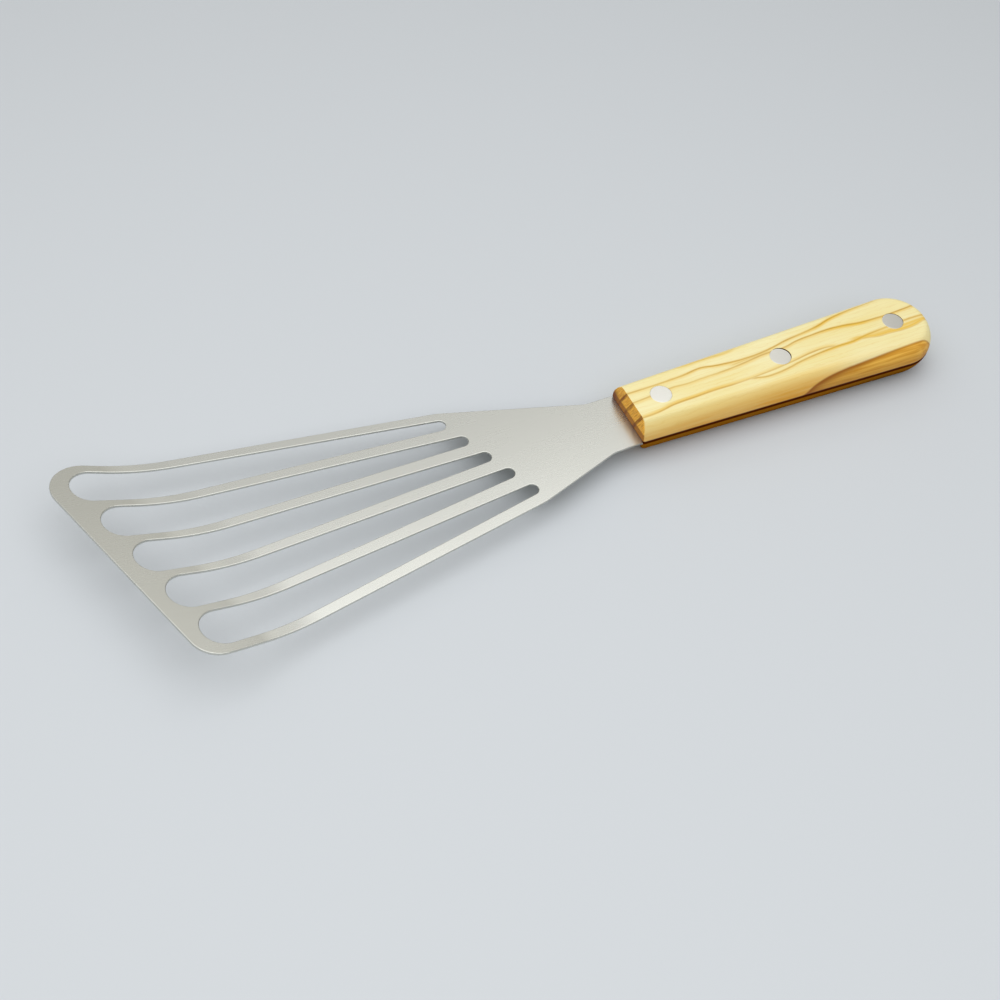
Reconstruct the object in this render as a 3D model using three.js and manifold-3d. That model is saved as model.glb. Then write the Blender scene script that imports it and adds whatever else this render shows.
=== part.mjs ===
// Slotted flexible turner: a sprung steel blade with a full tang between two riveted wooden scales.
// Millimetres. In the drawing frame X runs from the blade towards the butt with X = 0 at the handle's
// front, Y runs across the tool, and Z = 0 is the middle of the steel sheet.
import * as THREE from "three";
import { mergeVertices } from "three/addons/utils/BufferGeometryUtils.js";
import Module from "manifold-3d";

// Handle: both scales have one outline, a taper that ends in a full round butt. The tang follows it a
// little way in, which leaves a dark seam. The flanks bulge between the seam and the outer face, which
// is narrower by the flank's inset on each side, and meet it in a soft arris. The front of a scale stands
// upright next to the blade and then leans back as far as its setback.
const handleLength = 115.9;
const handleFrontWidth = 21.5;
const handleButtWidth = 28.2;
const scaleThickness = 7.4;
const upperFlankInset = 3.4;
const upperFlankBulge = 0.95;
const lowerFlankInset = 3.8;
const lowerFlankBulge = 0.6;
const arrisRadius = 2.5;
const tangInset = 0.8;
const upperFrontHeight = 2.75;
const upperFrontSetback = 0.9;
const lowerFrontHeight = 0.4;
const lowerFrontSetback = 2.8;

// Blade: neck, shoulders, fan-shaped sides and a slanted tip edge. Far is +Y and near is -Y.
const sheetThickness = 0.9;
const bladeLength = 165.5;
const neckLength = 9.8;
const farShoulderReach = 56.3;
const farShoulderHalf = 24.9;
const nearShoulderReach = 38.2;
const nearShoulderHalf = 20.1;
const farFlare = 8.7;
const nearFlare = 10.0;
const tipSlant = 20.2;
const neckFillet = 10;
const shoulderFillet = 20;
const farTipRadius = 10.4;
const nearTipRadius = 8.5;

// The tip is bent up about a line parallel to the slots' tip row; the run from the tip edge back to the
// start of the bend is measured along the axis.
const bendRun = 38.9;
const bendAngle = 19;
const bendRadius = 56;

// Slots: each is a taper between a small round and a large one. The rounds stand on two slanted rows,
// where the bars between them have set widths and the slots share what is left evenly. Widths in the
// handle row are measured straight across the tool, and those in the tip row square to each bar.
const slotCount = 5;
const handleRowReach = 47.7;
const handleRowSlant = 25.8;
const handleRowBar = 4.4;
const handleRowEdgeBar = 3.6;
const tipRowInset = 12.4;
const tipRowSlant = 19;
const tipRowBar = 2.5;
const tipRowEdgeBar = 3.0;

// Rivets: a tubular half from below and a solid half from above, heads flush with the wood.
const rivetNames = ["front", "middle", "rear"];
const frontRivetInset = 11.1;
const rearRivetInset = 14.8;
const rivetHeadDiameter = 7.1;
const rivetHeadThickness = 1.6;
const rivetTubeDiameter = 4.6;
const rivetPostDiameter = 3.0;
const rivetPostChamfer = 0.4;
const rivetFit = 0.1;
const rivetEndGap = 0.4;

// Fineness of round forms.
const arcStep = THREE.MathUtils.degToRad(9);
const bendSteps = 6;
const rivetSides = 32;
const cutMargin = 20;
const weldDistance = 1e-4;

const steel = { color: 0xcbccc6, roughness: 0.34, metalness: 1 };
const oliveWood = { color: 0xefdca0, roughness: 0.5, metalness: 0 };
const rivetMetal = { color: 0xdedcd6, roughness: 0.3, metalness: 1 };

const wasm = await Module();
wasm.setup();

const radians = THREE.MathUtils.degToRad;
const point = (x, y) => new THREE.Vector2(x, y);

// Closed solid of a three.js geometry, and back again.
function solidOf(geometry) {
  const bare = new THREE.BufferGeometry();
  bare.setAttribute("position", geometry.getAttribute("position"));
  bare.setIndex(geometry.index);
  const merged = mergeVertices(bare, weldDistance);
  return new wasm.Manifold(
    new wasm.Mesh({
      numProp: 3,
      vertProperties: merged.getAttribute("position").array,
      triVerts: new Uint32Array(merged.index.array),
    }),
  );
}

function geometryOf(solid) {
  const mesh = solid.getMesh();
  const geometry = new THREE.BufferGeometry();
  geometry.setAttribute("position", new THREE.BufferAttribute(mesh.vertProperties, 3));
  geometry.setIndex(new THREE.BufferAttribute(mesh.triVerts, 1));
  geometry.computeVertexNormals();
  return geometry;
}

function namedMesh(name, geometry, finish) {
  const mesh = new THREE.Mesh(geometry, new THREE.MeshStandardMaterial(finish));
  mesh.name = name;
  return mesh;
}

// Points along an arc, both ends included.
function arc(centre, radius, start, sweep) {
  const steps = Math.max(1, Math.ceil(Math.abs(sweep) / arcStep));
  return Array.from({ length: steps + 1 }, (_, i) => {
    const angle = start + (sweep * i) / steps;
    return point(centre.x + radius * Math.cos(angle), centre.y + radius * Math.sin(angle));
  });
}

// A corner of an outline, rounded between its two neighbours.
function roundedCorner(before, corner, after, radius) {
  const back = before.clone().sub(corner).normalize();
  const ahead = after.clone().sub(corner).normalize();
  const halfAngle = Math.acos(back.dot(ahead)) / 2;
  const bisector = back.clone().add(ahead).normalize();
  const centre = corner.clone().addScaledVector(bisector, radius / Math.sin(halfAngle));
  const from = corner.clone().addScaledVector(back, radius / Math.tan(halfAngle)).sub(centre);
  const turn = Math.sign(back.cross(ahead)) * (2 * halfAngle - Math.PI);
  return arc(centre, radius, from.angle(), turn);
}

// Where the line through p in direction d meets the line through q in direction e.
function crossing(p, d, q, e) {
  const along = q.clone().sub(p).cross(e) / d.cross(e);
  return p.clone().addScaledVector(d, along);
}

// Direction of a line across the tool that leans towards the tip on the far side.
const slanted = (degrees) => point(-Math.sin(radians(degrees)), Math.cos(radians(degrees)));

// Butt end and sides of the handle, from the near side round to the far side. The sides are tangents
// from the front corners to the butt's circle. The outline can be drawn out past the front by lead and
// moved in all round by inset.
function handleOutline(lead, inset) {
  const radius = handleButtWidth / 2;
  const centre = point(handleLength - radius, 0);
  const toCorner = point(0, handleFrontWidth / 2).sub(centre);
  const tangent = toCorner.angle() - Math.acos(radius / toCorner.length());
  const butt = arc(centre, radius - inset, -tangent, 2 * tangent);
  const side = point(-Math.sin(tangent), Math.cos(tangent));
  const front = butt.at(-1).clone();
  front.addScaledVector(side, (front.x + lead) / -side.x);
  return [point(front.x, -front.y), ...butt, front];
}

// The blade's sides and tip in the flat sheet.
const neckHalf = handleFrontWidth / 2;
const farNeck = point(-neckLength, neckHalf);
const nearNeck = point(-neckLength, -neckHalf);
const farShoulder = point(-farShoulderReach, farShoulderHalf);
const nearShoulder = point(-nearShoulderReach, -nearShoulderHalf);
const farSide = point(-Math.cos(radians(farFlare)), Math.sin(radians(farFlare)));
const nearSide = point(-Math.cos(radians(nearFlare)), -Math.sin(radians(nearFlare)));
const tipMiddle = point(-bladeLength, 0);
const farTip = crossing(farShoulder, farSide, tipMiddle, slanted(tipSlant));
const nearTip = crossing(nearShoulder, nearSide, tipMiddle, slanted(tipSlant));

function blankOutline() {
  const farFront = point(0, neckHalf);
  const nearFront = point(0, -neckHalf);
  return [
    nearFront,
    ...handleOutline(0, tangInset),
    farFront,
    ...roundedCorner(farFront, farNeck, farShoulder, neckFillet),
    ...roundedCorner(farNeck, farShoulder, farTip, shoulderFillet),
    ...roundedCorner(farShoulder, farTip, nearTip, farTipRadius),
    ...roundedCorner(farTip, nearTip, nearShoulder, nearTipRadius),
    ...roundedCorner(nearTip, nearShoulder, nearNeck, shoulderFillet),
    ...roundedCorner(nearShoulder, nearNeck, nearFront, neckFillet),
  ];
}

// One row of slot rounds across the blade, from the far side to the near side. Bars and slots take
// turns as strips that fan out evenly between the two sides. stretch is the length that a strip of
// unit width and a given heading takes up along the row.
function slotRow(onAxis, slant, bar, edgeBar, stretch) {
  const far = crossing(farShoulder, farSide, onAxis, slanted(slant));
  const near = crossing(nearShoulder, nearSide, onAxis, slanted(slant));
  const across = near.clone().sub(far);
  const stripCount = 2 * slotCount + 1;
  const strips = Array.from({ length: stripCount }, (_, k) => {
    const heading = farFlare - ((farFlare + nearFlare) * k) / (stripCount - 1);
    const isEdge = k === 0 || k === stripCount - 1;
    return { isSlot: k % 2 === 1, width: isEdge ? edgeBar : bar, stretch: stretch(slant + heading) };
  });
  const sum = (list, value) => list.reduce((total, strip) => total + value(strip), 0);
  const bars = strips.filter((strip) => !strip.isSlot);
  const slots = strips.filter((strip) => strip.isSlot);
  const room = across.length() - sum(bars, (strip) => strip.width * strip.stretch);
  const slotWidth = room / sum(slots, (strip) => strip.stretch);
  across.normalize();
  let start = 0;
  const rounds = [];
  for (const strip of strips) {
    const length = (strip.isSlot ? slotWidth : strip.width) * strip.stretch;
    if (strip.isSlot) {
      const centre = far.clone().addScaledVector(across, start + length / 2);
      rounds.push({ centre, radius: slotWidth / 2 });
    }
    start += length;
  }
  return rounds;
}

// Outline of one slot: the two rounds and their outer tangents.
function slotOutline(small, large) {
  const axis = small.centre.clone().sub(large.centre);
  const lean = Math.acos((large.radius - small.radius) / axis.length());
  const heading = axis.angle();
  return [
    ...arc(small.centre, small.radius, heading - lean, 2 * lean),
    ...arc(large.centre, large.radius, heading + lean, 2 * (Math.PI - lean)),
  ];
}

const rivetPitch = (handleLength - frontRivetInset - rearRivetInset) / (rivetNames.length - 1);
const rivetPlaces = rivetNames.map((_, i) => frontRivetInset + i * rivetPitch);
const tubeHoleRadius = rivetTubeDiameter / 2 + rivetFit;

function flatBlank() {
  const handleRow = slotRow(
    point(-handleRowReach, 0),
    handleRowSlant,
    handleRowBar,
    handleRowEdgeBar,
    () => 1 / Math.cos(radians(handleRowSlant)),
  );
  const tipRow = slotRow(
    point(tipRowInset - bladeLength, 0),
    tipRowSlant,
    tipRowBar,
    tipRowEdgeBar,
    (angle) => 1 / Math.cos(radians(angle)),
  );
  const blank = new THREE.Shape(blankOutline());
  for (let i = 0; i < slotCount; i++) {
    blank.holes.push(new THREE.Path(slotOutline(handleRow[i], tipRow[i])));
  }
  for (const x of rivetPlaces) {
    const hole = arc(point(x, 0), tubeHoleRadius, 0, 2 * Math.PI);
    hole.pop();
    blank.holes.push(new THREE.Path(hole));
  }
  const sheet = new THREE.ExtrudeGeometry(blank, { depth: sheetThickness, bevelEnabled: false });
  return sheet.translate(0, 0, -sheetThickness / 2);
}

// Splits every triangle that crosses an upright plane, so that the sheet can fold there. The cut point
// of an edge is always worked out from its low side, so neighbours share it exactly.
function sliceTriangles(triangles, normal, offset) {
  const height = (v) => v.x * normal.x + v.y * normal.y - offset;
  const touch = 1e-6;
  const cut = (low, high) => low.clone().lerp(high, height(low) / (height(low) - height(high)));
  const sliced = [];
  for (const triangle of triangles) {
    const heights = triangle.map(height);
    const sides = heights.map((h) => (Math.abs(h) < touch ? 0 : Math.sign(h)));
    if (!sides.includes(1) || !sides.includes(-1)) {
      sliced.push(triangle);
      continue;
    }
    // Turn the triangle so that its first corner is on the plane, or else alone on its side.
    const first = sides.includes(0)
      ? sides.indexOf(0)
      : sides.findIndex((s) => s === -Math.sign(sides[0] + sides[1] + sides[2]));
    const [a, b, c] = [0, 1, 2].map((k) => triangle[(first + k) % 3]);
    const crossed = (p, q) => (height(p) < height(q) ? cut(p, q) : cut(q, p));
    if (sides[first] === 0) {
      const middle = crossed(b, c);
      sliced.push([a, b, middle], [a, middle, c]);
    } else {
      const ab = crossed(a, b);
      const ac = crossed(a, c);
      sliced.push([a, ab, ac], [ab, b, c], [ab, c, ac]);
    }
  }
  return sliced;
}

// The finished sheet: flat as far as the bend, then an arc, then the straight raised tip.
function bentBlade() {
  const position = flatBlank().getAttribute("position");
  const corner = (i) => new THREE.Vector3().fromBufferAttribute(position, i);
  let triangles = [];
  for (let i = 0; i < position.count; i += 3) {
    triangles.push([corner(i), corner(i + 1), corner(i + 2)]);
  }
  const bendLine = slanted(tipRowSlant);
  const toTip = point(-bendLine.y, bendLine.x);
  const bendStart = (bladeLength - bendRun) * Math.cos(radians(tipRowSlant));
  const angle = radians(bendAngle);
  const arcLength = bendRadius * angle;
  for (let i = 0; i <= bendSteps; i++) {
    triangles = sliceTriangles(triangles, toTip, bendStart + (arcLength * i) / bendSteps);
  }
  const bend = (v) => {
    const run = v.x * toTip.x + v.y * toTip.y - bendStart;
    if (run <= 0) return v;
    const swept = Math.min(run / bendRadius, angle);
    const beyond = Math.max(run - arcLength, 0);
    const reach = (bendRadius - v.z) * Math.sin(swept) + beyond * Math.cos(angle);
    const rise = bendRadius - (bendRadius - v.z) * Math.cos(swept) + beyond * Math.sin(angle);
    return new THREE.Vector3(v.x + toTip.x * (reach - run), v.y + toTip.y * (reach - run), rise);
  };
  const bent = new THREE.BufferGeometry().setFromPoints(triangles.flat().map(bend));
  return geometryOf(solidOf(bent));
}

// A solid turned about the Z axis from a profile of [radius, height] pairs.
function turned(profile) {
  const points = profile.map(([radius, height]) => point(radius, height));
  return new THREE.LatheGeometry(points, rivetSides).rotateX(Math.PI / 2);
}

// Room that a rivet takes in a scale whose inner face is at Z = 0: the tube's hole and the head's seat.
function rivetRoom() {
  const headRadius = rivetHeadDiameter / 2 + rivetFit;
  const seat = scaleThickness - rivetHeadThickness;
  return turned([
    [0, -cutMargin],
    [tubeHoleRadius, -cutMargin],
    [tubeHoleRadius, seat],
    [headRadius, seat],
    [headRadius, scaleThickness + cutMargin],
    [0, scaleThickness + cutMargin],
  ]);
}

// Flank of a scale, as points of inset and height: an arc from the edge of the inner face up to the outer
// face, with its arris rounded.
function flankProfile(inset, bulge) {
  const foot = point(0, 0);
  const top = point(inset, scaleThickness);
  const halfChord = foot.distanceTo(top) / 2;
  const radius = (halfChord ** 2 + bulge ** 2) / (2 * bulge);
  const inwards = point(top.y, -top.x).normalize();
  const centre = foot.clone().lerp(top, 1 / 2).addScaledVector(inwards, radius - bulge);
  const flank = arc(centre, radius, foot.clone().sub(centre).angle(), -2 * Math.asin(halfChord / radius));
  flank.pop();
  const onOuterFace = point(handleFrontWidth / 2, scaleThickness);
  return [...flank, ...roundedCorner(flank.at(-1), top, onOuterFace, arrisRadius)];
}

// Closed body of level outlines that stand one above the other and have equally many points.
function stacked(levels) {
  const size = levels[0].outline.length;
  const corners = levels.flatMap(({ outline, height }) =>
    outline.map((p) => new THREE.Vector3(p.x, p.y, height)),
  );
  const faces = [];
  for (let level = 0; level < levels.length - 1; level++) {
    for (let i = 0; i < size; i++) {
      const [a, b] = [level * size + i, level * size + ((i + 1) % size)];
      faces.push([a, b, b + size], [a, b + size, a + size]);
    }
  }
  const lid = corners.length - size;
  for (const [a, b, c] of THREE.ShapeUtils.triangulateShape(levels[0].outline, [])) faces.push([a, c, b]);
  for (const face of THREE.ShapeUtils.triangulateShape(levels.at(-1).outline, [])) {
    faces.push(face.map((i) => i + lid));
  }
  return new THREE.BufferGeometry().setFromPoints(corners).setIndex(faces.flat());
}

// One scale, inner face at Z = 0: a plate with shaped flanks, trimmed to its side profile, and drilled for
// the rivets.
function handleScale(flankInset, flankBulge, frontHeight, frontSetback) {
  const levels = flankProfile(flankInset, flankBulge).map(({ x, y }) => {
    return { outline: handleOutline(cutMargin, x), height: y };
  });
  const plate = stacked(levels);
  const lean = frontSetback / (scaleThickness - frontHeight);
  const above = scaleThickness + cutMargin;
  const profile = new THREE.Shape([
    point(0, 0),
    point(handleLength + cutMargin, 0),
    point(handleLength + cutMargin, above),
    point(lean * (above - frontHeight), above),
    point(0, frontHeight),
  ]);
  const breadth = Math.max(handleFrontWidth, handleButtWidth) + 2 * cutMargin;
  const trim = new THREE.ExtrudeGeometry(profile, { depth: breadth, bevelEnabled: false })
    .rotateX(Math.PI / 2)
    .translate(0, breadth / 2, 0);
  let scale = solidOf(plate).intersect(solidOf(trim));
  for (const x of rivetPlaces) {
    scale = scale.subtract(solidOf(rivetRoom().translate(x, 0, 0)));
  }
  return geometryOf(scale);
}

// Rivet halves stand on their heads at Z = 0.
const gripLength = 2 * scaleThickness + sheetThickness;

function rivetTube() {
  const end = gripLength - rivetHeadThickness - rivetEndGap;
  const bore = rivetPostDiameter / 2 + rivetFit;
  return turned([
    [0, 0],
    [rivetHeadDiameter / 2, 0],
    [rivetHeadDiameter / 2, rivetHeadThickness],
    [rivetTubeDiameter / 2, rivetHeadThickness],
    [rivetTubeDiameter / 2, end],
    [bore, end],
    [bore, rivetHeadThickness],
    [0, rivetHeadThickness],
  ]);
}

function rivetPost() {
  const end = gripLength - rivetHeadThickness - rivetEndGap;
  const radius = rivetPostDiameter / 2;
  return turned([
    [0, 0],
    [rivetHeadDiameter / 2, 0],
    [rivetHeadDiameter / 2, rivetHeadThickness],
    [radius, rivetHeadThickness],
    [radius, end - rivetPostChamfer],
    [radius - rivetPostChamfer, end],
    [0, end],
  ]);
}

const tool = new THREE.Group();
tool.add(namedMesh("blade", bentBlade(), steel));

const upperForm = handleScale(upperFlankInset, upperFlankBulge, upperFrontHeight, upperFrontSetback);
const upperScale = namedMesh("upper_scale", upperForm, oliveWood);
upperScale.position.z = sheetThickness / 2;
const lowerForm = handleScale(lowerFlankInset, lowerFlankBulge, lowerFrontHeight, lowerFrontSetback);
const lowerScale = namedMesh("lower_scale", lowerForm, oliveWood);
lowerScale.rotation.x = Math.PI;
lowerScale.position.z = -sheetThickness / 2;
tool.add(upperScale, lowerScale);

rivetNames.forEach((place, i) => {
  const rivet = new THREE.Group();
  const tube = namedMesh(`${place}_rivet_tube`, rivetTube(), rivetMetal);
  tube.position.z = -gripLength / 2;
  const post = namedMesh(`${place}_rivet_post`, rivetPost(), rivetMetal);
  post.rotation.x = Math.PI;
  post.position.z = gripLength / 2;
  rivet.add(tube, post);
  rivet.position.x = rivetPlaces[i];
  tool.add(rivet);
});

// The part's frame has its origin under the middle of the whole tool, which lies on its lower scale.
const box = new THREE.Box3().setFromObject(tool, true);
tool.position.set(-(box.min.x + box.max.x) / 2, -(box.min.y + box.max.y) / 2, -box.min.z);

const turner = new THREE.Group();
turner.add(tool);

export default turner;
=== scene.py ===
"""Looks of the slotted flexible turner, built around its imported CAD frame."""

import math
from collections import namedtuple

import bmesh
import bpy
from mathutils import Matrix, Vector
from mathutils.geometry import tessellate_polygon


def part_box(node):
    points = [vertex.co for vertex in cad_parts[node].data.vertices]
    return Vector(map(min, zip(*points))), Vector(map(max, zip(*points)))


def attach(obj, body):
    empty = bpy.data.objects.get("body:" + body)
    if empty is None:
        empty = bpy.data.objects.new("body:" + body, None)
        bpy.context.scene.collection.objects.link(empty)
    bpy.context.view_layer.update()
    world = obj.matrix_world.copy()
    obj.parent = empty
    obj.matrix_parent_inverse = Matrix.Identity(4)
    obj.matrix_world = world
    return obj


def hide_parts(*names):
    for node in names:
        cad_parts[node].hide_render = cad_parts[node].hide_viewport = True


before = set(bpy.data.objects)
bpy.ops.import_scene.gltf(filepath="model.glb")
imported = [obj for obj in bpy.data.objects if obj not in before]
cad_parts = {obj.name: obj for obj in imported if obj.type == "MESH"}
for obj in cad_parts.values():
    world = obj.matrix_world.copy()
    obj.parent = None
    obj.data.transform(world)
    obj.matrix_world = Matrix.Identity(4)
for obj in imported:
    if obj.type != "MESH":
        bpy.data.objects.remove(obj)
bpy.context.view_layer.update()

MM = 0.001

# Sizes in millimetres, the same as the CAD's. X = 0 is the handle's front, Y = 0 the tool's axis and
# Z = 0 the middle of the sheet; far is +Y and near is -Y. Slants and flares are in degrees.
HANDLE_LENGTH = 115.9
HANDLE_FRONT_WIDTH = 21.5
HANDLE_BUTT_WIDTH = 28.2
SCALE_THICKNESS = 7.4
UPPER_FLANK_INSET = 3.4
UPPER_FLANK_BULGE = 0.95
LOWER_FLANK_INSET = 3.8
LOWER_FLANK_BULGE = 0.6
ARRIS_RADIUS = 2.5
TANG_INSET = 0.8
UPPER_FRONT_HEIGHT = 2.75
UPPER_FRONT_SETBACK = 0.9
LOWER_FRONT_HEIGHT = 0.4
LOWER_FRONT_SETBACK = 2.8

SHEET_THICKNESS = 0.9
BLADE_LENGTH = 165.5
NECK_LENGTH = 9.8
FAR_SHOULDER = Vector((-56.3, 24.9))
NEAR_SHOULDER = Vector((-38.2, -20.1))
FAR_FLARE = 8.7
NEAR_FLARE = 10.0
TIP_SLANT = 20.2
NECK_FILLET = 10
SHOULDER_FILLET = 20
FAR_TIP_RADIUS = 10.4
NEAR_TIP_RADIUS = 8.5
BEND_RUN = 38.9
BEND_ANGLE = math.radians(19)
BEND_RADIUS = 56

SLOT_COUNT = 5
HANDLE_ROW_REACH = 47.7
HANDLE_ROW_SLANT = 25.8
HANDLE_ROW_BAR = 4.4
HANDLE_ROW_EDGE_BAR = 3.6
TIP_ROW_INSET = 12.4
TIP_ROW_SLANT = 19
TIP_ROW_BAR = 2.5
TIP_ROW_EDGE_BAR = 3.0

RIVET_PLACES = {"front": 11.1, "middle": 56.1, "rear": 101.1}
RIVET_HEAD_RADIUS = 3.55
RIVET_HEAD_THICKNESS = 1.6
RIVET_TUBE_RADIUS = 2.3
RIVET_POST_RADIUS = 1.5
RIVET_FIT = 0.1
RIVET_END_GAP = 0.4

# Finer forms that only the looks have.
SHEET_EDGE_ROUND = 0.24
RIVET_EDGE_ROUND = 0.04
RIVET_DOME = 0.012
RIVET_CROWN_RINGS = (0.3, 0.6, 0.85, 0.97)
POST_CHAMFER = 0.4
SEAT_FIT = 0.04
NEAR_FRONT_CORNER = 0.9
FAR_FRONT_CORNER = 0.35
FRONT_ARRIS = 0.18
# Seats that wore loose on the upper side, as how much narrower they are and how far they moved.
WORN_SEATS = {"middle": (0.1, Vector((0.43, 0.26))), "rear": (0.02, Vector((0.16, 0.1)))}
# How far a seat's cutter reaches past the scale's inner face and past the seat.
CUT_BEHIND = 1
CUT_BEYOND = 5

# Fineness of the meshes.
ARC_STEP = math.radians(3)
QUARTER_TURN = [math.radians(a) for a in (0, 30, 60, 90)]
SIDE_RUNS = 24
BEND_STEPS = 24
LATHE_SIDES = 72
SAME_PLACE = 1e-4
LEAST_STEP = 0.05
CUT_TOLERANCE = 1e-5
MITRE_LIMIT = 0.5
WOOD_CREASE = math.radians(28)
RIVET_CREASE = math.radians(40)

HALF_SHEET = SHEET_THICKNESS / 2
TOP_LEVEL = HALF_SHEET + SCALE_THICKNESS

# The drawing frame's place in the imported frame.
upper_low, upper_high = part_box("upper_scale")
lower_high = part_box("lower_scale")[1]
ORIGIN = Vector((
    upper_low.x,
    (upper_low.y + upper_high.y) / 2,
    (upper_low.z + lower_high.z) / 2,
))


# Outlines

def arc(centre, radius, start, sweep):
    steps = max(1, math.ceil(abs(sweep) / ARC_STEP))
    angles = [start + sweep * i / steps for i in range(steps + 1)]
    return [centre + radius * Vector((math.cos(a), math.sin(a))) for a in angles]


def heading(v):
    return math.atan2(v.y, v.x)


def cross(a, b):
    return a.x * b.y - a.y * b.x


def rounded_corner(before, corner, after, radius):
    back = (before - corner).normalized()
    ahead = (after - corner).normalized()
    half = math.acos(back.dot(ahead)) / 2
    centre = corner + (back + ahead).normalized() * radius / math.sin(half)
    start = corner + back * radius / math.tan(half) - centre
    turn = math.copysign(1, cross(back, ahead)) * (2 * half - math.pi)
    return arc(centre, radius, heading(start), turn)


def crossing(p, d, q, e):
    """Where the line through p along d meets the line through q along e."""
    return p + d * cross(q - p, e) / cross(d, e)


def slanted(degrees):
    return Vector((-math.sin(math.radians(degrees)), math.cos(math.radians(degrees))))


def handle_outline(front_x, inset):
    """Sides and butt of the handle, from the near side of the front round to its far side."""
    radius = HANDLE_BUTT_WIDTH / 2
    centre = Vector((HANDLE_LENGTH - radius, 0))
    to_corner = Vector((0, HANDLE_FRONT_WIDTH / 2)) - centre
    tangent = heading(to_corner) - math.acos(radius / to_corner.length)
    butt = arc(centre, radius - inset, -tangent, 2 * tangent)
    side = Vector((-math.sin(tangent), math.cos(tangent)))
    end = butt[-1]
    front = end + side * (front_x - end.x) / side.x
    far = [end.lerp(front, i / SIDE_RUNS) for i in range(1, SIDE_RUNS + 1)]
    near = [Vector((p.x, -p.y)) for p in reversed(far)]
    return near + butt + far


FAR_SIDE = Vector((-math.cos(math.radians(FAR_FLARE)), math.sin(math.radians(FAR_FLARE))))
NEAR_SIDE = Vector((-math.cos(math.radians(NEAR_FLARE)), -math.sin(math.radians(NEAR_FLARE))))


def blank_outline():
    """The flat sheet's outline, tang included, anticlockwise."""
    half = HANDLE_FRONT_WIDTH / 2
    far_front, near_front = Vector((0, half)), Vector((0, -half))
    far_neck, near_neck = Vector((-NECK_LENGTH, half)), Vector((-NECK_LENGTH, -half))
    tip_middle = Vector((-BLADE_LENGTH, 0))
    far_tip = crossing(FAR_SHOULDER, FAR_SIDE, tip_middle, slanted(TIP_SLANT))
    near_tip = crossing(NEAR_SHOULDER, NEAR_SIDE, tip_middle, slanted(TIP_SLANT))
    return (
        [near_front]
        + handle_outline(0, TANG_INSET)
        + [far_front]
        + rounded_corner(far_front, far_neck, FAR_SHOULDER, NECK_FILLET)
        + rounded_corner(far_neck, FAR_SHOULDER, far_tip, SHOULDER_FILLET)
        + rounded_corner(FAR_SHOULDER, far_tip, near_tip, FAR_TIP_RADIUS)
        + rounded_corner(far_tip, near_tip, NEAR_SHOULDER, NEAR_TIP_RADIUS)
        + rounded_corner(near_tip, NEAR_SHOULDER, near_neck, SHOULDER_FILLET)
        + rounded_corner(NEAR_SHOULDER, near_neck, near_front, NECK_FILLET)
    )


def slot_row(on_axis, slant, bar, edge_bar, stretch):
    """Rounds at one end of the slots, from the far side to the near side, as (centre, radius)."""
    far = crossing(FAR_SHOULDER, FAR_SIDE, on_axis, slanted(slant))
    near = crossing(NEAR_SHOULDER, NEAR_SIDE, on_axis, slanted(slant))
    last = 2 * SLOT_COUNT
    fan = FAR_FLARE + NEAR_FLARE
    lengths = [stretch(slant + FAR_FLARE - fan * k / last) for k in range(last + 1)]
    widths = [edge_bar if k in (0, last) else bar for k in range(last + 1)]
    room = (near - far).length - sum(widths[k] * lengths[k] for k in range(0, last + 1, 2))
    slot_width = room / sum(lengths[1::2])
    across = (near - far).normalized()
    start, rounds = 0, []
    for k in range(last + 1):
        run = (slot_width if k % 2 else widths[k]) * lengths[k]
        if k % 2:
            rounds.append((far + across * (start + run / 2), slot_width / 2))
        start += run
    return rounds


def slot_outlines():
    handle_row = slot_row(
        Vector((-HANDLE_ROW_REACH, 0)), HANDLE_ROW_SLANT, HANDLE_ROW_BAR, HANDLE_ROW_EDGE_BAR,
        lambda angle: 1 / math.cos(math.radians(HANDLE_ROW_SLANT)),
    )
    tip_row = slot_row(
        Vector((TIP_ROW_INSET - BLADE_LENGTH, 0)), TIP_ROW_SLANT, TIP_ROW_BAR, TIP_ROW_EDGE_BAR,
        lambda angle: 1 / math.cos(math.radians(angle)),
    )
    outlines = []
    for (small, small_radius), (large, large_radius) in zip(handle_row, tip_row):
        axis = small - large
        lean = math.acos((large_radius - small_radius) / axis.length)
        outlines.append(
            arc(small, small_radius, heading(axis) - lean, 2 * lean)
            + arc(large, large_radius, heading(axis) + lean, 2 * (math.pi - lean))
        )
    return outlines


# Pieces

def placed_object(name, bm):
    """An object from a bmesh in drawing millimetres. Its own origin is the drawing frame's."""
    mesh = bpy.data.meshes.new(name)
    bmesh.ops.scale(bm, vec=(MM, MM, MM), verts=bm.verts)
    bm.to_mesh(mesh)
    bm.free()
    made = bpy.data.objects.new(name, mesh)
    made.location = ORIGIN
    bpy.context.scene.collection.objects.link(made)
    return made


def new_piece(name, bm, material, node):
    """A visible piece that stands for a CAD node."""
    piece = placed_object(name, bm)
    piece.data.materials.append(material)
    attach(piece, "root")
    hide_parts(node)
    return piece


def shade_smooth(piece, crease):
    piece.data.shade_smooth()
    piece.data.set_sharp_from_angle(angle=crease)
    weighted = piece.modifiers.new("normals", "WEIGHTED_NORMAL")
    weighted.keep_sharp = True


# Blade

def without_doubles(points):
    return [p for i, p in enumerate(points) if (p - points[i - 1]).length > SAME_PLACE]


def inward_normals(loop):
    """For each point of a loop with its material on the left, the mitred direction into the material."""
    normals = []
    for i, p in enumerate(loop):
        before = (p - loop[i - 1]).normalized()
        after = (loop[(i + 1) % len(loop)] - p).normalized()
        a, b = Vector((-before.y, before.x)), Vector((-after.y, after.x))
        middle = (a + b).normalized()
        normals.append(middle / max(middle.dot(a), MITRE_LIMIT))
    return normals


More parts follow.
